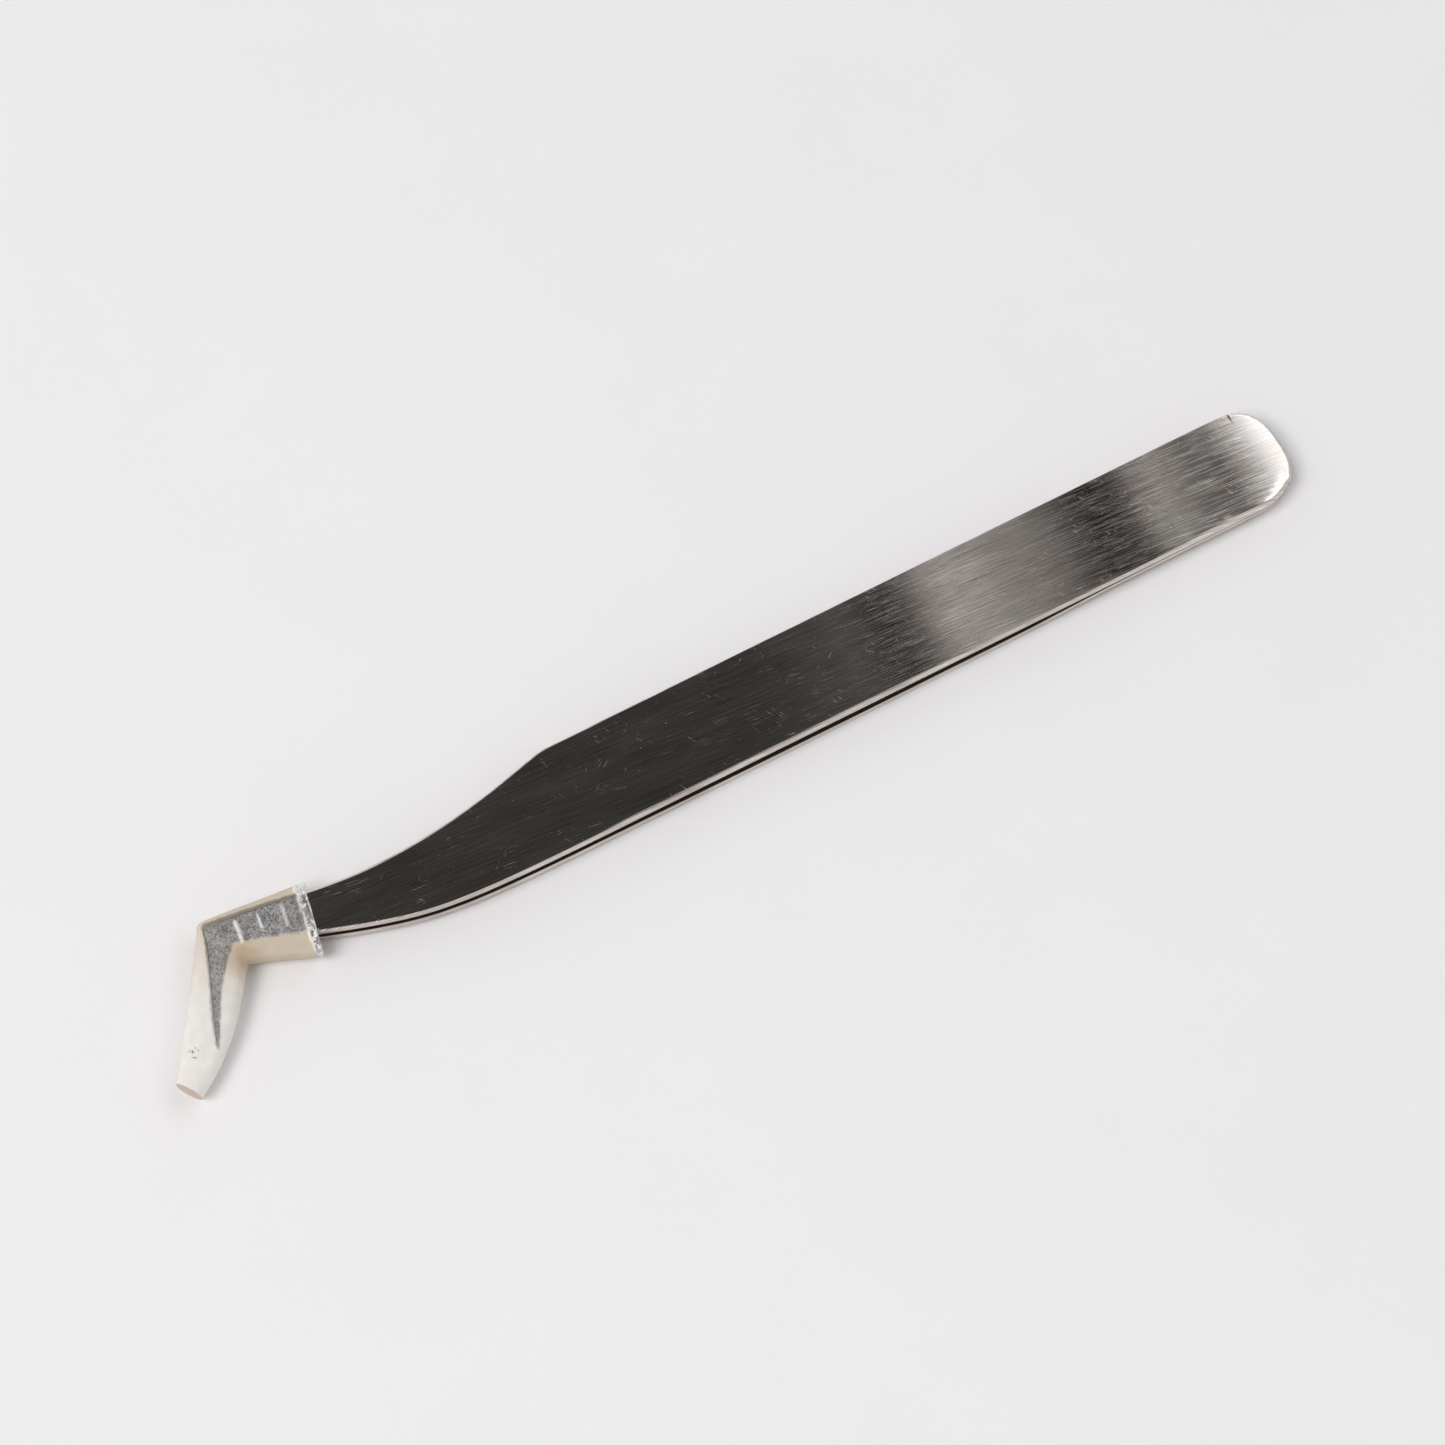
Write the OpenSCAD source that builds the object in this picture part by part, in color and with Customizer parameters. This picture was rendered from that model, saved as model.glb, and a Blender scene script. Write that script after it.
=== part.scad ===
// Bent-tip precision tweezers: two stainless leaves, spot-welded at the tail, lying on one
// leaf, with a soft tapered cap drawn over the hooked tips so that it holds them closed.
// Distances "along" run from the rounded tail end towards the tips; "across" is positive
// on the spine side, away from the hook. in_frame() turns them into the part's own frame:
// +X towards the tail, +Z up, origin on the floor under the middle of the whole part.

/* [Leaves] */
// Length of a leaf from the rounded tail end to the hooked point
leaf_length = 123.8; // [122:0.2:126]
// Width of the handle
handle_width = 10.9; // [10:0.1:11.5]
// Distance from the tail end to the shoulder, where the spine starts to narrow
shoulder_at = 82.8; // [80:0.2:86]
// Thickness of each leaf at the tail
tail_thickness = 1.1; // [1:0.05:1.2]
// Thickness of each leaf at the belly
belly_thickness = 1.25; // [1.1:0.05:1.3]
// Thickness of each leaf at the neck
neck_thickness = 1.05; // [0.9:0.05:1.1]
// Thickness of each leaf at its point
point_thickness = 0.35; // [0.25:0.05:0.5]
// Gap between the leaves along the belly and the neck, with the tips closed
leaf_gap = 0.65; // [0.4:0.05:0.8]

/* [Tail] */
// Length over which the leaves lie on each other and are welded
weld_length = 22; // [20:1:24]
// Height of the seam between the leaves above the floor at the tail
seam_height = 1.9; // [1.7:0.05:2.1]
// Diameter of each weld nugget
nugget_diameter = 4; // [3:0.5:5]
// Height of each weld nugget, half in each leaf
nugget_height = 0.8; // [0.6:0.1:1]
// Distance of the rear weld nugget from the tail end
rear_nugget_at = 7; // [6:0.5:8]
// Distance of the front weld nugget from the tail end
front_nugget_at = 16; // [14:0.5:18]

/* [Tip cap] */
// Wall thickness of the cap
cap_wall = 0.45; // [0.35:0.05:0.5]
// Height of the cap over the flattened part that grips the neck
cap_height = 4.1; // [4:0.05:4.3]
// Height of the cap at its closed end
cap_end_height = 3.1; // [2.8:0.1:3.4]

/* [Pose] */
// Opening angle of the upper leaf
leaf_open = 0; // [0:0.5:5.5]
// How far the cap is pulled off the tips
cap_pull = 0; // [0:1:30]

/* [Hidden] */

steel = [0.60, 0.60, 0.59];
weld_steel = [0.50, 0.47, 0.44];
cap_cream = [0.93, 0.88, 0.80];

half_width = handle_width / 2;
tail_round = 5.6;          // length of the rounded tail end
tail_power = 2.5;          // its superellipse power
flat_from = 36;            // the belly lies flat on the floor from here
flat_to = 52;              // to here
mouth_at = 109.4;          // mouth of the cap
tip_seam = 2.06;           // height of the seam between the closed tips
tip_clearance = 0.04;      // what is left between the closed tips
flex_at = weld_length + 3; // where the upper leaf flexes
flex_gap = 0.05;           // running clearance round the flexure

// Corners of the outline: [along, across]
shoulder = [shoulder_at, half_width - 0.2];
neck = [shoulder_at + 20.2, 2.2];
heel = [leaf_length - 4.1, 4.3];
point = [leaf_length, -7.6];
crotch = [leaf_length - 5.5, 0.8];
belly_end = [shoulder_at + 15.2, -4.85];
leg_angle = -61;           // direction of the hooked leg

// Outer corners of the cap: [along, across]
cap_mouth_spine = [mouth_at, 4.05];
cap_mouth_belly = [mouth_at + 1.4, -3.4];
cap_heel = [leaf_length - 3.4, 4.95];
cap_crook = [leaf_length - 6.4, -0.75];
cap_end_spine = [leaf_length + 4.9, -8.5];
cap_end_belly = [leaf_length + 3.2, -10.85];

frame_x = cap_end_spine.x / 2;
frame_y = -(half_width + cap_end_belly.y) / 2;

// Cubic curve through a and d with handles b and c, without its first point
function curve(a, b, c, d, steps) = [
    for (i = [1 : steps]) let(t = i / steps, s = 1 - t)
        s * s * s * a + 3 * s * s * t * b + 3 * s * t * t * c + t * t * t * d
];
function ease(t) = let(c = max(0, min(1, t))) c * c * (3 - 2 * c);
function ramp(u, from, to) = ease((u - from) / (to - from));

// One quarter of the rounded tail: side is 1 towards the spine and -1 towards the belly
function tail_quarter(side) = [
    for (a = [10 : 10 : 90])
        [tail_round * (1 - pow(cos(a), 2 / tail_power)), side * half_width * pow(sin(a), 2 / tail_power)]
];
function reversed(list) = [for (i = [len(list) - 1 : -1 : 0]) list[i]];

leaf_outline = concat(
    [[0, 0]],
    tail_quarter(1),
    [shoulder],
    curve(shoulder, shoulder + [7.2, -1.85], neck + [-8, -0.05], neck, 8),
    curve(neck, neck + [5.5, 0.1], heel + [-6, -0.7], heel, 6),
    curve(heel + [0.3, -0.25], heel + [0.8, -3.8], point + [-1.2, 4.6], point, 8),
    curve(point - [0.2, 0], point + [-1.5, 2.4], crotch + [2.8, -2.8], crotch, 8),
    curve(crotch + [-0.4, 0.35], crotch + [-6.2, -1.5], belly_end + [6, 0.65], belly_end, 8),
    curve(belly_end, belly_end + [-4, -0.55], [shoulder_at + 5, -half_width],
          [shoulder_at - 3, -half_width], 5),
    reversed(tail_quarter(-1))
);

// Side profile of the leaves: heights of the faces as functions of the distance along
function thickness(u) = tail_thickness
    + (belly_thickness - tail_thickness) * ramp(u, weld_length, flat_from)
    - (belly_thickness - neck_thickness) * ramp(u, 90, mouth_at);
function front_rise(u) = pow(max(0, min(1, (u - flat_to) / (mouth_at - flat_to))), 1.4);
function tip_closing(u) = ramp(u, 111, leaf_length - 6);
function lower_inner(u) = seam_height
    - (seam_height - belly_thickness) * ramp(u, weld_length, flat_from)
    + (tip_seam - leaf_gap / 2 - belly_thickness) * front_rise(u)
    + (leaf_gap - tip_clearance) / 2 * tip_closing(u);
function upper_inner(u) = seam_height
    + (belly_thickness + leaf_gap - seam_height) * ramp(u, weld_length, flat_from)
    + (tip_seam - leaf_gap / 2 - belly_thickness) * front_rise(u)
    - (leaf_gap - tip_clearance) / 2 * tip_closing(u);

stations = concat(
    [-1], [for (u = [weld_length : 2 : flat_from]) u], [for (u = [flat_to : 4 : 108]) u],
    [for (u = [110 : 1 : 119]) u], [leaf_length + 1]
);

lower_profile = concat(
    [for (u = stations) [u, lower_inner(u) - thickness(u)]],
    reversed([for (u = stations) [u, lower_inner(u)]])
);
upper_profile = concat(
    [for (u = stations) [u, upper_inner(u)]],
    reversed([for (u = stations) [u, upper_inner(u) + thickness(u)]])
);
flex_z = upper_inner(flex_at) + thickness(flex_at) / 2;
flex_radius = thickness(flex_at) / 2;

// Places children drawn as [along, across, up] in the part's own frame
module in_frame() {
    translate([frame_x, frame_y, 0]) mirror([1, 0, 0]) children();
}

// A leaf: its plan outline cut to its side profile; side is 1 for the upper leaf
module leaf_blank(profile, side) {
    difference() {
        intersection() {
            linear_extrude(6) polygon(leaf_outline);
            rotate([90, 0, 0]) linear_extrude(40, center = true) polygon(profile);
        }
        leg_wedge(side);
    }
}

// What is ground off the outer face of the hooked leg, down to the point's thickness
module leg_wedge(side) {
    leg_length = 11.5;
    translate([crotch.x, crotch.y + 1.5, tip_seam]) rotate([0, 0, leg_angle])
        rotate([90, 0, 0]) linear_extrude(20, center = true)
            polygon([
                [0, side * (neck_thickness + tip_clearance)],
                [leg_length, side * point_thickness],
                [leg_length + 4, side * point_thickness],
                [leg_length + 4, side * 5],
                [0, side * 5]
            ]);
}

module nugget(at) {
    translate([at, 0, seam_height - nugget_height / 2])
        cylinder(h = nugget_height, d = nugget_diameter, $fn = 48);
}

module nugget_seats() {
    nugget(rear_nugget_at);
    nugget(front_nugget_at);
}

module across_cylinder(radius) {
    translate([flex_at, 0, flex_z]) rotate([90, 0, 0])
        cylinder(h = 2 * handle_width, r = radius, center = true, $fn = 48);
}

module lower_leaf() {
    color(steel) in_frame() difference() {
        leaf_blank(lower_profile, -1);
        nugget_seats();
    }
}

// The welded end of the upper leaf, up to the flexure
module upper_leaf_root() {
    color(steel) in_frame() difference() {
        intersection() {
            leaf_blank(upper_profile, 1);
            translate([-1, -handle_width, 0]) cube([flex_at + 1, 2 * handle_width, 6]);
        }
        across_cylinder(flex_radius + flex_gap);
        nugget_seats();
    }
}

// The free part of the upper leaf, which turns about the flexure
module upper_leaf() {
    color(steel) in_frame()
        translate([flex_at, 0, flex_z]) rotate([0, -leaf_open, 0]) translate([-flex_at, 0, -flex_z]) {
            intersection() {
                leaf_blank(upper_profile, 1);
                union() {
                    translate([flex_at, -20, 0]) cube([120, 40, 6]);
                    across_cylinder(flex_radius);
                }
            }
        }
}

module rear_weld_nugget() {
    color(weld_steel) in_frame() nugget(rear_nugget_at);
}

module front_weld_nugget() {
    color(weld_steel) in_frame() nugget(front_nugget_at);
}

// Plan edges of the cap, point for point from the mouth to the closed end
grip_steps = 6;
turn_steps = 4;
leg_steps = 10;
turn_end = cap_heel + [0.2, -0.75];
cap_spine_edge = concat(
    [cap_mouth_spine],
    curve(cap_mouth_spine, cap_mouth_spine + [4, 0.3], cap_heel + [-4, -0.2],
          cap_heel + [-0.8, 0], grip_steps),
    curve(cap_heel + [-0.8, 0], cap_heel + [-0.1, -0.05], cap_heel + [0.1, -0.3],
          turn_end, turn_steps),
    curve(turn_end, turn_end + [2.4, -4], cap_end_spine + [-2.2, 3.4], cap_end_spine, leg_steps)
);
cap_belly_edge = concat(
    [cap_mouth_belly],
    curve(cap_mouth_belly, cap_mouth_belly + [2.2, 0.8], cap_crook + [-2, -0.6], cap_crook, grip_steps),
    curve(cap_crook, cap_crook + [0.1, 0], cap_crook + [0.2, -0.1],
          cap_crook + [0.3, -0.25], turn_steps),
    curve(cap_crook + [0.3, -0.25], cap_crook + [1.9, -2.75], cap_end_belly + [-5.3, 3.3],
          cap_end_belly, leg_steps)
);
cap_rings = len(cap_spine_edge);
ring_points = 28;

// 0 over the grip and 1 at the closed end
function leg_share(i) = ease((i - grip_steps) / (cap_rings - 1 - grip_steps));
function cap_half_height(i) = (cap_height + (cap_end_height - cap_height) * leg_share(i)) / 2;
function cap_centre_height(i) = cap_height / 2 + 0.01 - 0.3 * leg_share(i);
function cap_power(i) = 4 - 1.8 * leg_share(i);
function signed_power(v, p) = sign(v) * pow(abs(v), p);

// One ring of the cap between its two plan edges, drawn in by inset
function cap_ring(i, inset) = let(
    a = cap_spine_edge[i],
    b = cap_belly_edge[i],
    middle = (a + b) / 2,
    reach = (a - b) / norm(a - b) * (norm(a - b) / 2 - inset),
    rise = cap_half_height(i) - inset,
    p = 2 / cap_power(i)
) [
    for (k = [0 : ring_points - 1]) let(
        angle = 360 * k / ring_points,
        w = signed_power(cos(angle), p),
        h = signed_power(sin(angle), p)
    ) [middle.x + reach.x * w, middle.y + reach.y * w, cap_centre_height(i) + rise * h]
];
function mean(ring) = [for (c = [0 : 2]) sum([for (p = ring) p[c]]) / len(ring)];
function sum(list, i = 0) = i >= len(list) ? 0 : list[i] + sum(list, i + 1);

// Triangles between two rings of points that start at indices a and b
function band(a, b) = [
    for (k = [0 : ring_points - 1]) let(n = (k + 1) % ring_points)
        each [[a + k, a + n, b + n], [a + k, b + n, b + k]]
];
// Triangles between a ring and a middle point
function fan(a, middle) = [for (k = [0 : ring_points - 1]) [a + k, a + (k + 1) % ring_points, middle]];
function flipped(faces) = [for (f = faces) [f[0], f[2], f[1]]];

// The cap is a closed-ended soft tube, flattened where it grips the neck
module tip_cap() {
    inner_rings = cap_rings - 1;
    outer = [for (i = [0 : cap_rings - 1]) each cap_ring(i, 0)];
    inner = [for (i = [0 : inner_rings - 1]) each cap_ring(i, cap_wall)];
    outer_end = mean(cap_ring(cap_rings - 1, 0));
    inner_end = mean(cap_ring(inner_rings - 1, cap_wall));
    first_inner = len(outer);
    last_outer = (cap_rings - 1) * ring_points;
    last_inner = first_inner + (inner_rings - 1) * ring_points;
    faces = concat(
        [for (i = [0 : cap_rings - 2]) each band(i * ring_points, (i + 1) * ring_points)],
        fan(last_outer, len(outer) + len(inner)),
        flipped([
            for (i = [0 : inner_rings - 2])
                each band(first_inner + i * ring_points, first_inner + (i + 1) * ring_points)
        ]),
        flipped(fan(last_inner, len(outer) + len(inner) + 1)),
        flipped(band(0, first_inner))
    );
    color(cap_cream) translate([-cap_pull, 0, 0]) in_frame()
        polyhedron(points = concat(outer, inner, [outer_end, inner_end]), faces = faces);
}

lower_leaf();
upper_leaf_root();
upper_leaf();
rear_weld_nugget();
front_weld_nugget();
tip_cap();
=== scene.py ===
import math

import bpy
import numpy as np
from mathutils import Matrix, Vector, noise


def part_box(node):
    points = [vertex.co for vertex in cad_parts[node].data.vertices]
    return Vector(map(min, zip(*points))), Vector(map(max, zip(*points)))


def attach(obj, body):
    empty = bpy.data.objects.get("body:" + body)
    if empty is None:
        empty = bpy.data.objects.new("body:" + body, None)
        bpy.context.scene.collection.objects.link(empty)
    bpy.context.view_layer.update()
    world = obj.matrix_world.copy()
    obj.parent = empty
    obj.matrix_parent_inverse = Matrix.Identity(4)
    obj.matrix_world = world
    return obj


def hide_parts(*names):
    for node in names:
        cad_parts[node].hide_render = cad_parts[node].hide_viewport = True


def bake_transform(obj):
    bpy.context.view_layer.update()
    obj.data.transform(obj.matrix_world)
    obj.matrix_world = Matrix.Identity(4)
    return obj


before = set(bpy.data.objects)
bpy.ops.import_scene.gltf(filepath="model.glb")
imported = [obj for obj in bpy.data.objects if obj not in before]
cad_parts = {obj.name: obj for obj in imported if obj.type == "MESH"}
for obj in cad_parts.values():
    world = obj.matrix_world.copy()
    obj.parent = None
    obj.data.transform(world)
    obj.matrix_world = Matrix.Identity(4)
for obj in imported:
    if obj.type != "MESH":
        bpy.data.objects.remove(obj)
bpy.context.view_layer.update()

# Bent-tip tweezers: two steel leaves and a soft cap over their tips. Shapes are worked out in
# millimetres as (along, across, up): along runs from the tail end to the tips, across is
# positive on the spine side, away from the hook, and up is the height above the floor.

MM = 0.001

# ---------------------------------------------------------------- sizes from the frame
root_low, root_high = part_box("upper_leaf_root")
leaf_low, leaf_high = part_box("lower_leaf")
TAIL_X = leaf_high.x / MM
AXIS_Y = (root_low.y + root_high.y) / 2 / MM
HALF_WIDTH = (root_high.y - root_low.y) / 2 / MM
LEAF_LENGTH = (leaf_high.x - leaf_low.x) / MM

# ---------------------------------------------------------------- the leaf's design
TAIL_ROUND = 5.6
SPINE_TAIL_POWER, BELLY_TAIL_POWER = 3.1, 2.5
SHOULDER_AT = 82.8
TAIL_THICKNESS = 1.1
BELLY_THICKNESS = 1.25
NECK_THICKNESS = 1.05
POINT_THICKNESS = 0.35
LEAF_GAP = 0.65
TIP_CLEARANCE = 0.04
WELD_LENGTH = 22
SEAM_HEIGHT = 1.9
FLAT_FROM, FLAT_TO = 36, 52
MOUTH_AT = 109.4
TIP_SEAM = 2.06
NECK_FROM = 90       # from here to the cap's mouth the leaves thin to the neck's thickness
CLOSING_FROM = 111   # the gap closes from here
GRIP_FROM = 108      # the sections begin to turn into the hook here
LEG_ANGLE = math.radians(-61)
LEG_LENGTH = 11.5


def point2(along, across):
    return np.array([along, across], float)


SHOULDER = point2(SHOULDER_AT, HALF_WIDTH - 0.2)
NECK = point2(SHOULDER_AT + 20.2, 2.2)
HEEL = point2(LEAF_LENGTH - 4.1, 4.3)
POINT = point2(LEAF_LENGTH, -7.6)
CROTCH = point2(LEAF_LENGTH - 5.5, 0.8)
BELLY_END = point2(SHOULDER_AT + 15.2, -4.85)


def place(along, across, up):
    """A point of the design, in the frame's metres."""
    return ((TAIL_X - along) * MM, (AXIS_Y + across) * MM, up * MM)


def ease(t):
    t = np.clip(t, 0, 1)
    return t * t * (3 - 2 * t)


def ramp(value, start, end):
    return ease((value - start) / (end - start))


def curve(a, b, c, d, steps):
    """Points of a cubic curve from a to d with handles b and c, both ends included."""
    t = np.linspace(0, 1, steps + 1)[:, None]
    s = 1 - t
    return s ** 3 * a + 3 * s * s * t * b + 3 * s * t * t * c + t ** 3 * d


def tail_points(start, end, steps):
    """Points on the rounded tail end; 0 degrees is its tip and 90 the start of the spine."""
    angle = np.radians(np.linspace(start, end, steps))
    power = np.where(angle > 0, 2 / SPINE_TAIL_POWER, 2 / BELLY_TAIL_POWER)
    along = TAIL_ROUND * (1 - np.cos(angle) ** power)
    across = np.sign(angle) * HALF_WIDTH * np.abs(np.sin(angle)) ** power
    return np.stack([along, across], axis=1)


def joined(*parts):
    """Runs of points as one path, without repeated points."""
    path = np.concatenate(parts)
    keep = np.concatenate([[True], np.linalg.norm(np.diff(path, axis=0), axis=1) > 1e-6])
    return path[keep]


def spread(path, shares):
    """Points at those shares of a path's length."""
    lengths = np.concatenate([[0], np.cumsum(np.linalg.norm(np.diff(path, axis=0), axis=1))])
    at = np.asarray(shares) * lengths[-1]
    return np.stack([np.interp(at, lengths, path[:, k]) for k in (0, 1)], axis=1)


CORNER_ANGLE = 45
QUARTER = 89.9       # degrees: the tail's round stops just short of the straight edge
CURVE_STEPS = 24
LEG_CURVE_STEPS = 40
spine_path = joined(
    tail_points(CORNER_ANGLE, QUARTER, CURVE_STEPS),
    SHOULDER[None],
    curve(SHOULDER, SHOULDER + (7.2, -1.85), NECK + (-8, -0.05), NECK, CURVE_STEPS),
    curve(NECK, NECK + (5.5, 0.1), HEEL + (-6, -0.7), HEEL, CURVE_STEPS),
)
belly_path = joined(
    tail_points(-CORNER_ANGLE, -QUARTER, CURVE_STEPS),
    curve(point2(SHOULDER_AT - 3, -HALF_WIDTH), point2(SHOULDER_AT + 5, -HALF_WIDTH),
          BELLY_END + (-4, -0.55), BELLY_END, CURVE_STEPS),
    curve(BELLY_END, BELLY_END + (6, 0.65), CROTCH + (-6.2, -1.5), CROTCH + (-0.4, 0.35),
          CURVE_STEPS),
)
leg_outer = curve(HEEL + (0.3, -0.25), HEEL + (0.8, -3.8), POINT + (-1.2, 4.6), POINT,
                  LEG_CURVE_STEPS)
leg_inner = curve(CROTCH, CROTCH + (2.8, -2.8), POINT + (-1.5, 2.4), POINT - (0.2, 0),
                  LEG_CURVE_STEPS)


def after(path, along):
    """The stretch of a path past that distance along."""
    start = point2(along, np.interp(along, path[:, 0], path[:, 1]))
    return np.concatenate([start[None], path[path[:, 0] > along]])


def softened(path, at, reach):
    """Points of the path at those distances along, with its corners rounded over reach."""
    across = [np.interp(at + s * reach, path[:, 0], path[:, 1]) for s in np.linspace(-1, 1, 7)]
    return np.stack([at, np.mean(across, axis=0)], axis=1)


# ---------------------------------------------------------------- the leaf's grid in plan
EDGE_STEPS = np.array([0, 0.03, 0.08, 0.15, 0.24, 0.36, 0.55, 0.85])
MIDDLE_COLUMNS = 9
TAIL_STEPS = np.concatenate([EDGE_STEPS, [1.2, 1.6, 2.1, 2.7, 3.4, 4.2, 5.1, 6.1, 7.1]])
BOW_LENGTH = 9       # the rows are bowed like the tail's end over this length
ROW_STEP = 0.75
CORNER_REACH = 0.7
GRIP_ROWS, LEG_ROWS = 18, 34
LEG_CROWDING = 1.15  # the leg's rows draw together towards the point
ARC_POINTS = 61


def across_shares(width):
    """Where a section's points lie across it, close together at its edges."""
    near = EDGE_STEPS * min(1, width / 3) / width
    middle = np.linspace(near[-1], 1 - near[-1], MIDDLE_COLUMNS + 2)[1:-1]
    return np.concatenate([near, middle, 1 - near[::-1]])


def plan_grid():
    """Rows of (along, across) points from belly edge to spine edge, tail end to point."""
    corner = spine_path[0, 0]
    near_tail = corner + TAIL_STEPS
    handle = np.arange(near_tail[-1] + ROW_STEP, GRIP_FROM - 0.3, ROW_STEP)
    along = np.concatenate([near_tail, handle])
    reach = CORNER_REACH * ramp(along, 10, 20)
    spine = [softened(spine_path, along, reach)]
    belly = [softened(belly_path, along, reach)]
    shares = np.linspace(0, 1, GRIP_ROWS)
    spine.append(spread(after(spine_path, GRIP_FROM), shares))
    belly.append(spread(after(belly_path, GRIP_FROM), shares))
    shares = 1 - np.linspace(1, 0, LEG_ROWS) ** LEG_CROWDING
    spine.append(spread(leg_outer, shares))
    belly.append(spread(leg_inner, shares))
    spine, belly = np.concatenate(spine), np.concatenate(belly)
    rows = []
    for b, s in zip(belly, spine):
        share = across_shares(np.linalg.norm(s - b))[:, None]
        rows.append(b + (s - b) * share)
    rows = np.array(rows)
    end_share = across_shares(np.linalg.norm(spine[0] - belly[0]))
    end_arc = spread(tail_points(-CORNER_ANGLE, CORNER_ANGLE, ARC_POINTS), end_share)
    bow = end_arc - rows[0]
    fade = 1 - ramp(spine[:, 0], corner, corner + BOW_LENGTH)
    return rows + bow[None] * fade[:, None, None]


def border(rows, columns):
    """Grid indices round the border, in order."""
    return (
        [(0, j) for j in range(columns)]
        + [(i, columns - 1) for i in range(1, rows)]
        + [(rows - 1, j) for j in range(columns - 2, -1, -1)]
        + [(i, 0) for i in range(rows - 2, 0, -1)]
    )


def edge_distance(points, loop):
    """Distance of each point to the closed loop."""
    best = np.full(len(points), 1e9)
    for start, end in zip(loop, np.roll(loop, -1, axis=0)):
        run = end - start
        t = np.clip(((points - start) @ run) / max(run @ run, 1e-12), 0, 1)
        best = np.minimum(best, np.linalg.norm(points - (start + t[:, None] * run), axis=1))
    return best


def inside_loop(points, loop):
    """Which points lie inside the closed loop."""
    crossings = np.zeros(len(points), int)
    for start, end in zip(loop, np.roll(loop, -1, axis=0)):
        if start[1] == end[1]:
            continue
        spans = (start[1] > points[:, 1]) != (end[1] > points[:, 1])
        at = start[0] + (points[:, 1] - start[1]) / (end[1] - start[1]) * (end[0] - start[0])
        crossings += spans & (points[:, 0] < at)
    return crossings % 2 == 1


# ---------------------------------------------------------------- the leaf's heights
RISE_POWER = 1.4

# Each profile is a list of distances along and the values there
SPINE_RADIUS = ([0, 6, 10, 60, 75, 84, 103, 119, LEAF_LENGTH],
                [0.25, 0.15, 0.1, 0.1, 0.2, 0.26, 0.42, 0.3, 0.08])
UPPER_BELLY_RADIUS = ([0, 3, 8, 14, 20, 100, 112, 119, LEAF_LENGTH],
                      [0.3, 0.65, 0.7, 0.3, 0.12, 0.12, 0.4, 0.2, 0.08])
LOWER_BELLY_RADIUS = ([0, 8, 20, 30, 50, 100, LEAF_LENGTH],
                      [0.4, 0.6, 0.5, 0.35, 0.28, 0.25, 0.08])
LEG_PART, FACE_PART = 0.42, 0.8     # a radius takes no more than these parts of a thickness
BEVEL_WIDTH = 0.36      # ground along the upper leaf's belly edge
BEVEL_DROP = 0.26
BEVEL_SHARE = ([14, 24, 45, 78, 88, 100], [0, 0.5, 1, 1, 0.35, 0])
UPPER_ROLL, UPPER_ROLL_REACH, UPPER_ROLL_POWER = 0.3, 6.5, 2      # at the tail end
LOWER_ROLL, LOWER_ROLL_REACH, LOWER_ROLL_POWER = 0.8, 7.5, 1.5
HOLLOW = ([16, 20, 25, 40, 55, 65, 80, 95, 108, 112],
          [0, 0.03, 0.08, 0.15, 0.2, 0.2, 0.1, 0.06, 0.03, 0])
WAVE_FROM = 8


def thickness(u):
    return (
        TAIL_THICKNESS
        + (BELLY_THICKNESS - TAIL_THICKNESS) * ramp(u, WELD_LENGTH, FLAT_FROM)
        - (BELLY_THICKNESS - NECK_THICKNESS) * ramp(u, NECK_FROM, MOUTH_AT)
    )


def inner_height(u, side):
    """Height of a leaf's inner face; side is 1 for the upper leaf and -1 for the lower."""
    rest = BELLY_THICKNESS + (LEAF_GAP if side > 0 else 0)
    front_rise = np.clip((u - FLAT_TO) / (MOUTH_AT - FLAT_TO), 0, 1) ** RISE_POWER
    closing = ramp(u, CLOSING_FROM, LEAF_LENGTH - 6)
    return (
        SEAM_HEIGHT
        + (rest - SEAM_HEIGHT) * ramp(u, WELD_LENGTH, FLAT_FROM)
        + (TIP_SEAM - LEAF_GAP / 2 - BELLY_THICKNESS) * front_rise
        - side * (LEAF_GAP - TIP_CLEARANCE) / 2 * closing
    )


def leg_thickness(u, v):
    """Thickness of one leaf on the hooked leg, ground down towards the point."""
    reach = (u - CROTCH[0]) * math.cos(LEG_ANGLE) + (v - CROTCH[1] - 1.5) * math.sin(LEG_ANGLE)
    share = np.minimum(reach / LEG_LENGTH, 1)
    return NECK_THICKNESS + (POINT_THICKNESS - NECK_THICKNESS) * share


def soft_least(a, b, blend=0.08):
    return -blend * np.log(np.exp(-a / blend) + np.exp(-b / blend))


def edge_radius(u, share, side):
    """Rounding of a leaf's outer edges; share is 0 at the belly edge and 1 at the spine."""
    spine = np.interp(u, *SPINE_RADIUS)
    belly = np.interp(u, *(UPPER_BELLY_RADIUS if side > 0 else LOWER_BELLY_RADIUS))
    return belly + (spine - belly) * ramp(share, 0.1, 0.9)


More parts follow.
